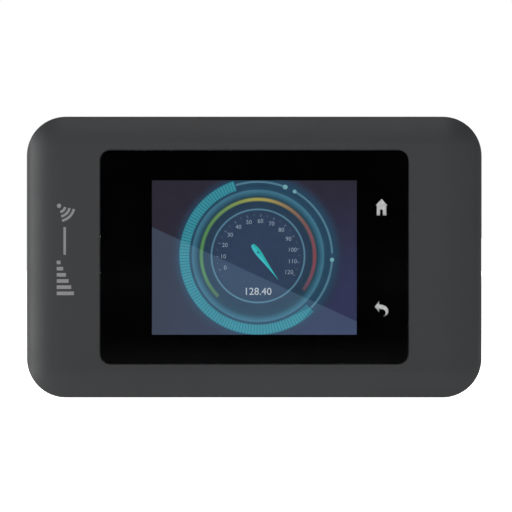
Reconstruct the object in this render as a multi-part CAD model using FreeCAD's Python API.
import FreeCAD, Part
import math
import os
from FreeCAD import Vector as V

# ---------------------------------------------------------------------------
# Pocket mobile hotspot with a 2.4 inch touch display, a removable battery
# under a full-size back cover, a pull-out card socket, a power button on the
# top edge and a charging socket on the right-hand end.
#
# Everything is laid out lying on its back: x to the right, y up the display,
# z from the back (0) to the front (T).  At the end every piece is stood up
# into the row frame: +X right, -Y the display side, +Z up, with the origin
# in the middle of the long edge that it stands on.  Millimetres.
# ---------------------------------------------------------------------------

# ---- driving dimensions ----------------------------------------------------
W, H, T = 108.5, 66.9, 15.5        # overall width, height, thickness
R = 9.4                            # corner radius in front view
XF = 43.5                          # half width of the flat front, ends curve beyond
YF = 26.5                          # half height of the flat front
AX = 10.83                         # half axis of the end curve along x
AZ_FRONT, AZ_BACK = 7.0, 4.2       # half axis of the end curve along z
CROWN = 1.1                        # fall of front and back towards the long edges
RIM = 0.5                          # rounding where front and back meet the sides
Z_PART = 4.5                       # parting line between housing and back cover
GAP = 0.1                          # parting gap
WALL = 1.6                         # front housing wall
COVER_WALL = 1.45
COVER_SKIN = 1.3
REAR_INSET = 1.75                  # rear housing sits inside both walls
REAR_SKIN = 1.6
REAR_WALL = 1.2
REAR_TOP = 9.5

GLASS_W, GLASS_H, GLASS_R = 73.5, 51.0, 2.6
GLASS_TOP = 15.45
Z_GLASS, Z_MASK, Z_TAPE = 14.60, 14.55, 14.40
LAMINA = 0.01                      # clearance between laminated sheets
RECESS = 0.12                      # gap round the glass
VIEW_W, VIEW_H = 48.96, 36.72      # active area of the display
VIEW_MARGIN = 0.12
KEY_X = 30.3                       # touch keys beside the display
HOME_Y, BACK_Y = 11.85, -12.35

BOARD_Z0, BOARD_Z1 = 9.6, 10.6
BOARD_X, BOARD_Y, BOARD_R = 50.2, 28.75, 7.0
CASE_SCREWS = [(46.3, 26.0), (46.3, -26.0), (-46.3, 26.0), (-46.3, -26.0), (0.0, 28.7), (0.0, -28.7)]
BOARD_SCREWS = [(-37.0, 26.2), (37.0, 26.2), (20.0, -26.2)]

BAY = (-42.3, 12.3, -23.3, 23.3)   # battery bay, x0 x1 y0 y1
BAY_FLOOR = 7.0
BATT = (-42.0, 12.0, -23.1, 23.1, 1.75, 6.9)

SIM_X = 32.0                       # card socket
SIM_W, SIM_L, SIM_T = 8.8, 12.3, 0.67
SIM_Y0 = -14.6
SIM_MOUTH = -4.0
SIM_TRAVEL = 12.0
RESET_X, RESET_Y = 31.0, -22.0
RESET_TRAVEL = 0.25

PWR_X, PWR_Z = 24.0, 8.85          # power button on the top edge
PWR_L, PWR_H = 11.9, 3.3
PWR_TRAVEL = 0.3

USB_Z = 8.0                        # charging socket on the right-hand end
USB_W, USB_H = 8.94, 3.2

nodes = {}


# ---- helpers ---------------------------------------------------------------
def box(x0, x1, y0, y1, z0, z1):
    return Part.makeBox(x1 - x0, y1 - y0, z1 - z0, V(x0, y0, z0))


def cyl(x, y, z0, z1, r):
    return Part.makeCylinder(r, z1 - z0, V(x, y, z0), V(0, 0, 1))


def rrect(x0, x1, y0, y1, z0, z1, r):
    """Upright prism on a rectangle with round corners."""
    k = r * (1 - math.sqrt(0.5))
    p = [V(x0 + r, y0, z0), V(x1 - r, y0, z0), V(x1, y0 + r, z0), V(x1, y1 - r, z0),
         V(x1 - r, y1, z0), V(x0 + r, y1, z0), V(x0, y1 - r, z0), V(x0, y0 + r, z0)]
    m = [V(x1 - k, y0 + k, z0), V(x1 - k, y1 - k, z0), V(x0 + k, y1 - k, z0), V(x0 + k, y0 + k, z0)]
    edges = []
    for i in range(4):
        a, b, c = p[2 * i], p[2 * i + 1], p[(2 * i + 2) % 8]
        if a.distanceToPoint(b) > 1e-6:
            edges.append(Part.LineSegment(a, b).toShape())
        edges.append(Part.Arc(b, m[i], c).toShape())
    return Part.Face(Part.Wire(edges)).extrude(V(0, 0, z1 - z0))


def cbox(cx, cy, w, h, z0, z1, r):
    return rrect(cx - w / 2, cx + w / 2, cy - h / 2, cy + h / 2, z0, z1, r)


def poly(points, z0, z1):
    w = Part.makePolygon([V(x, y, z0) for x, y in points] + [V(points[0][0], points[0][1], z0)])
    return Part.Face(w).extrude(V(0, 0, z1 - z0))


def slot_y(cx, cz, length, height, y0, y1):
    """Pill with its long side on x, running along y."""
    s = cbox(0, 0, length, height, 0, y1 - y0, height / 2 - 1e-4)
    s.rotate(V(0, 0, 0), V(1, 0, 0), -90)      # z -> y, y -> -z
    s.translate(V(cx, y0, cz))
    return s


def slot_x(cy, cz, length, height, x0, x1):
    """Pill with its long side on y, running along x."""
    s = cbox(0, 0, height, length, 0, x1 - x0, height / 2 - 1e-4)
    s.rotate(V(0, 0, 0), V(0, 1, 0), 90)       # z -> x, x -> -z
    s.translate(V(x0, cy, cz))
    return s


def ribbon(points, width, thick, axis, centre):
    """Flat flexible strip: a path in the (u, z) plane, wide along the other axis."""
    left, right = [], []
    n = len(points)
    for i in range(n):
        a = points[max(i - 1, 0)]
        b = points[min(i + 1, n - 1)]
        dx, dz = b[0] - a[0], b[1] - a[1]
        ln = math.hypot(dx, dz)
        nx, nz = -dz / ln * thick / 2, dx / ln * thick / 2
        left.append((points[i][0] + nx, points[i][1] + nz))
        right.append((points[i][0] - nx, points[i][1] - nz))
    ring = left + right[::-1]
    if axis == "x":
        v = [V(u, centre - width / 2, z) for u, z in ring]
        d = V(0, width, 0)
    else:
        v = [V(centre - width / 2, u, z) for u, z in ring]
        d = V(width, 0, 0)
    return Part.Face(Part.makePolygon(v + [v[0]])).extrude(d)


def fuse(*shapes):
    s = shapes[0]
    if len(shapes) > 1:
        s = s.multiFuse(list(shapes[1:]))
    return s.removeSplitter()


def put(name, shape):
    nodes[name] = shape


# ---- the crowned front and back --------------------------------------------
def profile_x(az, w):
    """Fall of the skin from the middle to the end: flat, then an ellipse."""
    ax, az = AX - w, az - w
    pts = [(x, 0.0) for x in (0, 12, 24, 32, 37, 40, 42)]
    tmax = math.asin((W / 2 - w + 0.0 - XF) / ax)
    n = 22
    for i in range(n + 1):
        t = tmax * i / n
        pts.append((XF + ax * math.sin(t), az * (1 - math.cos(t))))
    slope = (az / ax) * math.tan(tmax)
    x0, d0 = pts[-1]
    for k in (0.25, 0.6, 1.0, 1.5):
        pts.append((x0 + k, d0 + k * slope))
    return pts


def profile_y(w):
    span = H / 2 - w - YF
    pts = [(y, 0.0) for y in (0, 9, 17, 22, 25)]
    for i in range(11):
        q = i / 10.0 * 1.35
        pts.append((YF + span * q, CROWN * q * q))
    return pts


def skin(w, front):
    """Everything outside the front or back skin, moved in by w."""
    px = profile_x(AZ_FRONT if front else AZ_BACK, w)
    py = profile_y(w)
    px = [(-x, d) for x, d in reversed(px[1:])] + px
    py = [(-y, d) for y, d in reversed(py[1:])] + py
    eps = 0.01
    if front:
        grid = [[V(x, y, T - w + eps - dx - dy) for y, dy in py] for x, dx in px]
    else:
        grid = [[V(x, y, w - eps + dx + dy) for y, dy in py] for x, dx in px]
    s = Part.BSplineSurface()
    s.interpolate(grid)
    return s.toShape().extrude(V(0, 0, 40 if front else -40))


def plan(w, z0, z1):
    return rrect(-W / 2 + w, W / 2 - w, -H / 2 + w, H / 2 - w, z0, z1, R - w)


def hull_solid():
    s = plan(0, 0, T).cut(skin(0, True)).cut(skin(0, False))
    rim = []
    for e in s.Edges:
        fs = s.ancestorsOfType(e, Part.Face)
        skins = [f for f in fs if isinstance(f.Surface, Part.BSplineSurface)]
        if len(skins) == 1 and len(fs) == 2:
            other = [f for f in fs if not isinstance(f.Surface, Part.BSplineSurface)][0]
            if other.BoundBox.ZLength > 0.5:
                rim.append(e)
    return s.makeFillet(RIM, rim)


HULL = hull_solid()

# ---- front housing ----------------------------------------------------------
fh = HULL.common(box(-60, 60, -40, 40, Z_PART, T + 1))
void = plan(WALL, Z_PART - 1, T).cut(skin(WALL, True))
fh = fh.cut(void)
ledge = cbox(0, 0, GLASS_W + 4.4, GLASS_H + 4.4, 13.2, 14.2, GLASS_R + 1.5)
bosses = [cyl(x, y, 10.7, 14.2, 2.1) for x, y in CASE_SCREWS]
bosses += [cyl(x, y, BOARD_Z1, 14.2, 1.9) for x, y in BOARD_SCREWS]
# stiffening ribs between the ledge and the long walls
ribs = []
for x in (-26.0, -13.0, 12.0, 29.0):
    for s in (1, -1):
        y0, y1 = sorted((s * 27.0, s * (H / 2 - WALL + 0.3)))
        ribs.append(box(x - 0.4, x + 0.4, y0, y1, 12.45, 13.4))
fh = fuse(fh, ledge, *(bosses + ribs))
fh = fh.cut(cbox(0, 0, GLASS_W + 2 * RECESS, GLASS_H + 2 * RECESS, Z_TAPE, T + 1, GLASS_R + RECESS))
fh = fh.cut(cbox(0, 0, 69.2, 46.7, 12.0, T + 1, 1.5))
for x, y in CASE_SCREWS:
    fh = fh.cut(cyl(x, y, 10.0, 13.6, 0.8))
for x, y in BOARD_SCREWS:
    fh = fh.cut(cyl(x, y, 10.0, 13.2, 0.65))
# charging socket mouth with a shallow countersink
fh = fh.cut(slot_x(0, USB_Z, 9.5, 3.7, 50, 56))
fh = fh.cut(slot_x(0, USB_Z, 10.3, 4.5, W / 2 - 0.3, 56))
# power button slot and its shallow dish
fh = fh.cut(slot_y(PWR_X, PWR_Z, PWR_L + 0.3, PWR_H + 0.3, 31, 36))
fh = fh.cut(slot_y(PWR_X, PWR_Z, 14.4, 5.2, H / 2 - 0.25, 36))
put("front_housing", fh)

# ---- back cover --------------------------------------------------------------
bc = HULL.common(box(-60, 60, -40, 40, -1, Z_PART - GAP))
bc = bc.cut(plan(COVER_WALL, 0, Z_PART + 1).cut(skin(COVER_SKIN, False)))
LUGS = [(-34.0, 1), (34.0, 1), (-30.0, -1), (30.0, -1), (9.0, -1), (-12.0, 1)]
for x, s in LUGS:
    y0, y1 = sorted((s * (H / 2 - COVER_WALL + 0.2 - 0.2), s * (H / 2 - COVER_WALL - 0.75)))
    y0, y1 = (y0, y1 + 0.2) if s > 0 else (y0 - 0.2, y1)
    bc = bc.fuse(box(x - 2.5, x + 2.5, y0, y1, 2.9, 4.0))
# ribs on the inside of the cover that steady the battery
for x in (-30.0, -15.0, 0.0):
    bc = bc.fuse(box(x - 0.4, x + 0.4, -19, 19, 1.1, 1.5))
# fingernail notch in the rim
bc = bc.cut(slot_x(-17.0, Z_PART, 9.0, 2.0, W / 2 - 0.7, 56))
bc = bc.removeSplitter()
put("battery_cover", bc)

# ---- rear housing -------------------------------------------------------------
rh = plan(REAR_INSET, 0, REAR_TOP).cut(skin(REAR_SKIN, False))
rh = rh.cut(plan(REAR_INSET + REAR_WALL, 0, REAR_TOP + 1).cut(skin(REAR_SKIN + REAR_WALL, False)))
bx0, bx1, by0, by1 = BAY
adds = [box(bx0 - 0.9, bx1 + 0.9, by0 - 0.9, by1 + 0.9, 2.0, BAY_FLOOR + 0.8)]
adds.append(box(-48.6, bx0, -7.9, 7.9, 2.0, 6.1))                       # finger scoop
adds.append(box(SIM_X - 8.8, SIM_X + 8.8, -17.2, 17.2, 2.0, 9.3))       # card pocket
adds.append(cyl(RESET_X, RESET_Y, 2.0, 6.4, 2.4))                       # reset guide
adds += [cyl(x, y, 2.0, 10.6, 2.5) for x, y in CASE_SCREWS]
rh = fuse(rh, *adds).cut(skin(REAR_SKIN, False))
rh = rh.cut(cbox((bx0 + bx1) / 2, (by0 + by1) / 2, bx1 - bx0, by1 - by0, 0, BAY_FLOOR, 1.2))
rh = rh.cut(cbox(-44.6, 0, 6.4, 14.0, 0, 5.3, 3.1))
rh = rh.cut(box(12.0, 13.4, -5.6, 5.6, 3.3, 8.0))                       # contact window
rh = rh.cut(cbox(SIM_X, 0, 16.0, 32.8, 0, 10, 1.0))
rh = rh.cut(cyl(RESET_X, RESET_Y, 0, 7, 1.4))
for x, y in CASE_SCREWS:
    rh = rh.cut(cyl(x, y, 0, 4.6, 1.85)).cut(cyl(x, y, 4, 11, 0.95))
rh = rh.cut(box(45.5, 54, -5.2, 5.2, 5.9, 11))                          # charging socket
rh = rh.cut(box(PWR_X - 7.6, PWR_X + 7.6, 29.0, 33, 6.1, 11))           # power button
for x, s in LUGS:
    y0, y1 = sorted((s * (H / 2 - REAR_INSET - 0.65), s * (H / 2)))
    rh = rh.cut(box(x - 2.8, x + 2.8, y0, y1, 0, 4.25))
put("rear_housing", rh)

# ---- display window ------------------------------------------------------------
g = cbox(0, 0, GLASS_W, GLASS_H, Z_GLASS, GLASS_TOP, GLASS_R)
g = g.makeFillet(0.22, [e for e in g.Edges if e.BoundBox.ZMin > GLASS_TOP - 1e-4])
put("cover_glass", g)


def arc_pts(cx, cy, r, a0, a1, n):
    return [(cx + r * math.cos(math.radians(a0 + (a1 - a0) * i / n)),
             cy + r * math.sin(math.radians(a0 + (a1 - a0) * i / n))) for i in range(n + 1)]


# house outline: roof, walls and a doorway
hx, hy = KEY_X - 0.05, HOME_Y
HOME_ICON = [(hx + 0.10, hy + 2.00), (hx + 1.48, hy + 0.47), (hx + 1.22, hy + 0.30), (hx + 1.22, hy - 1.95),
             (hx + 0.36, hy - 1.95), (hx + 0.36, hy - 0.55), (hx - 0.30, hy - 0.55), (hx - 0.30, hy - 1.95),
             (hx - 1.08, hy - 1.95), (hx - 1.08, hy + 0.30), (hx - 1.40, hy + 0.47)]
# return arrow: triangular head to the left, tail sweeping down to the right
kx, ky = KEY_X, BACK_Y
BACK_ICON = [(kx - 1.62, ky + 0.52), (kx - 0.55, ky + 1.92), (kx - 0.55, ky + 1.08),
             (kx + 0.35, ky + 0.98), (kx + 1.10, ky + 0.60), (kx + 1.58, ky - 0.05), (kx + 1.66, ky - 0.75),
             (kx + 1.40, ky - 1.30), (kx + 0.90, ky - 1.68), (kx + 0.42, ky - 1.82),
             (kx + 0.86, ky - 1.28), (kx + 0.98, ky - 0.78), (kx + 0.82, ky - 0.38), (kx + 0.40, ky - 0.10),
             (kx - 0.55, ky + 0.02), (kx - 0.55, ky - 0.80)]
mask = cbox(0, 0, GLASS_W - 0.3, GLASS_H - 0.3, Z_MASK, Z_GLASS - LAMINA, GLASS_R - 0.15)
mask = mask.cut(box(-VIEW_W / 2 - VIEW_MARGIN, VIEW_W / 2 + VIEW_MARGIN, -VIEW_H / 2 - VIEW_MARGIN,
                    VIEW_H / 2 + VIEW_MARGIN, 14, 15))
mask = mask.cut(poly(HOME_ICON, 14, 15)).cut(poly(BACK_ICON, 14, 15))
put("window_mask", mask)
tape = cbox(0, 0, GLASS_W - 0.3, GLASS_H - 0.3, Z_TAPE, Z_MASK - LAMINA, GLASS_R - 0.15)
put("glass_adhesive", tape.cut(cbox(0, 0, 69.6, 47.0, 14, 15, 1.6)))
put("touch_sensor", cbox(3.4, 0, 60.8, 44.6, 14.33, Z_MASK - LAMINA, 0.8))
put("touch_flex", ribbon([(-22.25, 14.27), (-22.75, 14.22), (-22.95, 13.9), (-22.95, 12.2), (-23.15, 11.75),
                          (-23.6, 11.55), (-25.4, 11.52)], 7.0, 0.12, "y", -20.0))

# ---- display module ---------------------------------------------------------------
lx0, lx1, ly = -32.9, 27.4, 21.36
fr = cbox((lx0 + lx1) / 2, 0, lx1 - lx0, 2 * ly, 11.75, 13.35, 0.6)
put("display_frame", fr.cut(cbox((lx0 + lx1) / 2, 0, lx1 - lx0 - 0.4, 2 * ly - 0.4, 11.95, 14, 0.4)))
put("backlight", cbox((lx0 + lx1) / 2, 0, lx1 - lx0 - 0.6, 2 * ly - 0.6, 11.95, 12.95, 0.3))
pan = box(lx0 + 0.4, lx1 - 0.4, -ly + 0.4, ly - 0.4, 12.95, 13.55)
pan = fuse(pan, box(-27.2, lx1 - 0.4, -ly + 0.4, ly - 0.4, 13.5, 14.15))
put("display_panel", pan)
put("display_flex", ribbon([(-32.4, 13.62), (-33.5, 13.60), (-34.1, 13.30), (-34.3, 12.8), (-34.6, 12.3),
                            (-35.4, 11.85), (-36.8, 11.66), (-39.6, 11.60)], 15.0, 0.12, "x", 0.0))
fo = cbox(-2.75, 0, 56.5, 40.0, BOARD_Z1, 11.75, 1.5)
put("display_foam", fo.cut(cbox(-2.75, 0, 51.5, 35.0, 10, 12, 0.8)))
guide = cbox(KEY_X, 0, 4.4, 30.0, 12.6, 14.25, 1.2)
guide = fuse(guide, cbox(KEY_X, 12.0, 3.4, 4.6, 11.45, 13, 0.8), cbox(KEY_X, -12.0, 3.4, 4.6, 11.45, 13, 0.8))
put("key_light_guide", guide)
put("key_leds", Part.Compound([box(KEY_X - 0.8, KEY_X + 0.8, s * 12 - 0.5, s * 12 + 0.5, BOARD_Z1, 11.2)
                               for s in (1, -1)]))

# ---- main board ----------------------------------------------------------------------
bd = rrect(-BOARD_X, BOARD_X, -BOARD_Y, BOARD_Y, BOARD_Z0, BOARD_Z1, BOARD_R)
for x, y in CASE_SCREWS:
    bd = bd.cut(cyl(x, y, 9, 11, 2.9))
    if abs(x) > 1:
        sx, sy = (1 if x > 0 else -1), (1 if y > 0 else -1)
        bd = bd.cut(box(*(sorted((x, x + sx * 6)) + sorted((y, y + sy * 6)) + [9, 11])))
for x, y in BOARD_SCREWS:
    bd = bd.cut(cyl(x, y, 9, 11, 0.95))
put("main_board", bd)


def screw(x, y, z_under, r_head, h_head, r, z_tip, flip=True):
    """Pan-head screw driven from the back; z_under is where its head seats."""
    head = cyl(x, y, z_under - h_head, z_under, r_head)
    head = head.makeFillet(0.25, [e for e in head.Edges if e.BoundBox.ZMax < z_under - h_head + 1e-4])
    s = fuse(head, cyl(x, y, z_under, z_tip - 0.5, r),
             Part.makeCone(r, r * 0.35, 0.5, V(x, y, z_tip - 0.5), V(0, 0, 1)))
    d = h_head * 0.6
    for a in (0, 90):
        c = box(-r_head * 0.62, r_head * 0.62, -0.17, 0.17, z_under - h_head - 0.1, z_under - h_head + d)
        c.rotate(V(0, 0, 0), V(0, 0, 1), a)
        c.translate(V(x, y, 0))
        s = s.cut(c)
    return s


put("case_screws", Part.Compound([screw(x, y, 4.6, 1.7, 1.0, 0.78, 13.2) for x, y in CASE_SCREWS]))
put("board_screws", Part.Compound([screw(x, y, BOARD_Z0, 1.5, 0.8, 0.63, 12.9) for x, y in BOARD_SCREWS]))


def shield(name, x0, x1, y0, y1):
    f = box(x0, x1, y0, y1, 8.35, BOARD_Z0).cut(box(x0 + 0.25, x1 - 0.25, y0 + 0.25, y1 - 0.25, 8, 10))
    put(name + "_shield_frame", f)
    c = cbox((x0 + x1) / 2, (y0 + y1) / 2, x1 - x0 + 0.6, y1 - y0 + 0.6, 8.05, 9.3, 0.5)
    c = c.cut(box(x0 - 0.05, x1 + 0.05, y0 - 0.05, y1 + 0.05, 8.25, 10))
    put(name + "_shield_can", c)


shield("modem", -38.0, -8.0, -18.0, 10.0)
shield("radio", -5.0, 9.0, -18.0, 16.0)


def chip(name, cx, cy, w, h, t, front=False):
    z0, z1 = (BOARD_Z1, BOARD_Z1 + t) if front else (BOARD_Z0 - t, BOARD_Z0)
    s = box(cx - w / 2, cx + w / 2, cy - h / 2, cy + h / 2, z0, z1)
    top = z1 if front else z0
    s = s.makeChamfer(0.12, [e for e in s.Edges if abs(e.BoundBox.ZMin - top) < 1e-4 and abs(e.BoundBox.ZMax - top) < 1e-4])
    put(name, s)


chip("modem_chip", -29.5, -7.5, 12.0, 12.0, 1.0)
chip("memory_chip", -15.2, -7.0, 11.5, 13.0, 0.9)
chip("power_chip", -29.0, 4.6, 7.0, 7.0, 0.9)
chip("transceiver_chip", 2.0, -8.0, 7.0, 7.0, 0.85)
chip("amplifier_chip", 2.0, 6.0, 5.0, 7.5, 0.85)
chip("wifi_chip", -12.0, 4.0, 8.0, 8.0, 0.85, front=True)
put("thermal_pad", cbox(-23.0, -4.0, 24.0, 22.0, BAY_FLOOR + 0.8, 8.05, 1.0))
caps = []
for i, (x, y) in enumerate([(-40.5, 14.0), (-36.0, 14.0), (-31.5, 14.0), (-24.0, 14.5), (-18.0, 14.5), (-12.0, 14.5),
                            (17.0, -12.0), (17.0, -15.0), (17.5, 10.0), (43.5, 12.0), (43.5, 9.0), (43.5, -10.0)]):
    caps.append(box(x - 0.9, x + 0.9, y - 0.5, y + 0.5, BOARD_Z0 - 0.8, BOARD_Z0))
put("board_capacitors", Part.Compound(caps))
cn = cbox(-41.3, 0, 4.2, 17.0, BOARD_Z1, 11.5, 0.4)
put("display_connector", cn)
put("touch_connector", cbox(-20.0, -25.8, 8.6, 2.6, BOARD_Z1, 11.4, 0.4))

# ---- antennas -------------------------------------------------------------------------


def antenna(x0, x1, s):
    """Meander strip stuck on the inside of a long wall."""
    y0, y1 = sorted((s * (H / 2 - WALL), s * (H / 2 - WALL - 0.15)))
    out = [box(x0, x1, y0, y1, 9.8, 10.4)]
    x, up = x0, True
    while x < x1 - 1.0:
        out.append(box(x, x + 0.6, y0, y1, 9.8, 12.3))
        if up and x + 2.6 < x1:
            out.append(box(x, x + 2.6, y0, y1, 11.7, 12.3))
        up = not up
        x += 2.0
    return fuse(*out)


put("main_antenna", antenna(-38.0, -8.4, -1))
put("diversity_antenna", antenna(-42.0, -14.4, 1))
put("wifi_antenna", antenna(34.0, 43.6, 1))


def clip(x, s):
    """Spring finger from the board edge to an antenna strip."""
    y_end = H / 2 - WALL - 0.2
    pts = [(s * 26.6, 10.7), (s * 28.4, 10.7), (s * 29.0, 11.1), (s * 29.9, 11.3), (s * (y_end - 0.5), 11.1),
           (s * (y_end - 0.12), 10.6), (s * (y_end - 0.22), 10.15)]
    return ribbon(pts, 1.6, 0.18, "y", x)


put("antenna_clips", Part.Compound([clip(-35.0, -1), clip(-33.0, 1), clip(40.5, 1)]))

# ---- card socket --------------------------------------------------------------------------
sx0, sx1 = SIM_X - 5.7, SIM_X + 5.7
sy0 = SIM_Y0 - 0.8
base = cbox(SIM_X, (sy0 + 0.3 + SIM_MOUTH) / 2, 10.6, SIM_MOUTH - sy0 - 0.3, 9.0, BOARD_Z0, 0.3)
for i in (-1, 0, 1):
    for j in (-12.4, -7.0):
        base = base.cut(box(SIM_X + 2.54 * i - 0.75, SIM_X + 2.54 * i + 0.75, j - 1.3, j + 1.3, 8.9, 9.12))
put("card_socket_base", base)
put("card_contacts", Part.Compound([box(SIM_X + 2.54 * i - 0.5, SIM_X + 2.54 * i + 0.5, j - 1.1, j + 1.1, 9.0, 9.12)
                                    for i in (-1, 0, 1) for j in (-12.4, -7.0)]))
cage = box(sx0, sx1, sy0, SIM_MOUTH, 8.0, BOARD_Z0)
cage = cage.cut(box(sx0 + 0.2, sx1 - 0.2, sy0 + 0.2, SIM_MOUTH + 1, 8.2, 10))
cage = cage.cut(cbox(SIM_X, SIM_MOUTH, 6.0, 4.4, 7, 8.5, 1.5))
cage = cage.cut(cbox(SIM_X - 3.2, -10.2, 1.2, 4.5, 7, 8.5, 0.4)).cut(cbox(SIM_X + 3.2, -10.2, 1.2, 4.5, 7, 8.5, 0.4))
put("card_socket_cage", cage)
cx0, cx1, cy1 = SIM_X - SIM_W / 2, SIM_X + SIM_W / 2, SIM_Y0 + SIM_L
card = cbox(SIM_X, SIM_Y0 + SIM_L / 2, SIM_W, SIM_L, 8.27, 8.27 + SIM_T, 0.8)
card = card.cut(poly([(cx1 + 0.1, SIM_Y0 - 0.1), (cx1 - 1.65, SIM_Y0 - 0.1), (cx1 + 0.1, SIM_Y0 + 1.65)], 8, 10))
pads = []
for i in (-1, 0, 1):
    for j in (-12.4, -7.0):
        pads.append(cbox(SIM_X + 2.54 * i, j, 2.2, 2.3, 8.27 + SIM_T - 0.04, 8.27 + SIM_T, 0.2))
for p in pads:
    card = card.cut(p)
put("sim_card", card)
put("sim_card_pads", Part.Compound(pads))

# ---- charging socket -------------------------------------------------------------------------
sh = slot_x(0, USB_Z, USB_W, USB_H, 46.3, 53.5)
put("charging_port_shell", sh.cut(slot_x(0, USB_Z, USB_W - 0.6, USB_H - 0.6, 46.8, 54)))
tg = box(46.8, 52.9, -3.35, 3.35, USB_Z - 0.35, USB_Z + 0.35)
tg = tg.makeFillet(0.2, [e for e in tg.Edges if e.BoundBox.XMin > 52.8 and e.BoundBox.YLength > 1])
tg = fuse(tg, slot_x(0, USB_Z, USB_W - 0.62, USB_H - 0.62, 46.81, 47.8))
put("charging_port_tongue", tg)

# ---- power button --------------------------------------------------------------------------------
pb = slot_y(PWR_X, PWR_Z, PWR_L, PWR_H, 31.6, H / 2 - 0.17)
pb = pb.makeFillet(0.3, [e for e in pb.Edges if e.BoundBox.YMin > H / 2 - 0.18])
pb = fuse(pb, slot_y(PWR_X, PWR_Z, 14.0, 4.7, 31.0, 31.7),
          Part.makeCylinder(0.9, 1.3, V(PWR_X, 29.9, PWR_Z), V(0, 1, 0)))
put("power_button", pb)
sw = box(PWR_X - 2.3, PWR_X + 2.3, 26.6, 29.2, 8.0, BOARD_Z0)
put("power_switch", sw.cut(box(PWR_X - 1.1, PWR_X + 1.1, 28.35, 30, 8.35, 9.35)))
put("power_switch_plunger", box(PWR_X - 1.0, PWR_X + 1.0, 28.8, 29.85, 8.45, 9.25))

# ---- reset button ----------------------------------------------------------------------------------
rb = cyl(RESET_X, RESET_Y, 1.95, 8.05, 1.3)
rb = rb.makeFillet(0.3, [e for e in rb.Edges if e.BoundBox.ZMax < 1.96])
put("reset_button", fuse(rb, cyl(RESET_X, RESET_Y, 6.7, 7.3, 1.9)))
rs = cbox(RESET_X, RESET_Y, 3.4, 3.4, 8.6, BOARD_Z0, 0.3)
put("reset_switch", rs.cut(cyl(RESET_X, RESET_Y, 8, 9.15, 0.95)))
put("reset_switch_plunger", cyl(RESET_X, RESET_Y, 8.1, 8.85, 0.85))

# ---- battery ------------------------------------------------------------------------------------------
x0, x1, y0, y1, z0, z1 = BATT
cell = rrect(x0, x1 - 3.0, y0, y1, z0, z1, 1.2)
cell = cell.makeFillet(0.7, [e for e in cell.Edges if e.BoundBox.ZLength < 1e-3 and e.BoundBox.XMin < x1 - 3.5])
put("battery_cell", cell)
cap = rrect(x1 - 3.0, x1, y0, y1, z0, z1, 0.9)
cap = cap.cut(box(x1 - 3.5, x1 - 2.95, y0 - 1, y1 + 1, 0, 8))
pads = [box(x1 - 0.1, x1, y - 0.9, y + 0.9, 3.7, 6.0) for y in (-3.9, -1.3, 1.3, 3.9)]
for p in pads:
    cap = cap.cut(p)
put("battery_end_cap", cap)
put("battery_terminals", Part.Compound(pads))
put("battery_label", cbox(-16.5, 0, 47.0, 41.0, z0 - 0.08, z0, 1.5))
bcn = box(12.75, 17.4, -5.3, 5.3, 3.5, BOARD_Z0)
for y in (-3.9, -1.3, 1.3, 3.9):
    bcn = bcn.cut(box(12.0, 14.6, y - 0.75, y + 0.75, 3.9, 6.4))
put("battery_connector", bcn)


def finger(y):
    pts = [(14.45, 6.2), (13.2, 5.9), (12.45, 5.4), (12.16, 4.9), (12.3, 4.45), (12.9, 4.2)]
    return ribbon(pts, 1.1, 0.18, "x", y)


put("battery_contacts", Part.Compound([finger(y) for y in (-3.9, -1.3, 1.3, 3.9)]))
put("information_label", cbox(-15.0, 0, 46.0, 36.0, BAY_FLOOR - 0.06, BAY_FLOOR, 1.5))

# ---- stand everything up and write it ---------------------------------------------------------------------
os.makedirs("parts", exist_ok=True)
upright = FreeCAD.Placement(V(0, T / 2, H / 2), FreeCAD.Rotation(V(1, 0, 0), 90)).toMatrix()
for name in nodes:
    s = nodes[name].transformed(upright, True)
    solids = s.Solids
    if len(solids) == 1:
        s = solids[0]
    else:
        s = Part.Compound(solids)
    bb = s.BoundBox
    print("%-24s solids %2d valid %s vol %9.2f  x %.2f..%.2f y %.2f..%.2f z %.2f..%.2f" % (
        name, len(solids), s.isValid(), s.Volume, bb.XMin, bb.XMax, bb.YMin, bb.YMax, bb.ZMin, bb.ZMax))
    s.exportStep("parts/%s.step" % name)
print("nodes", len(nodes))
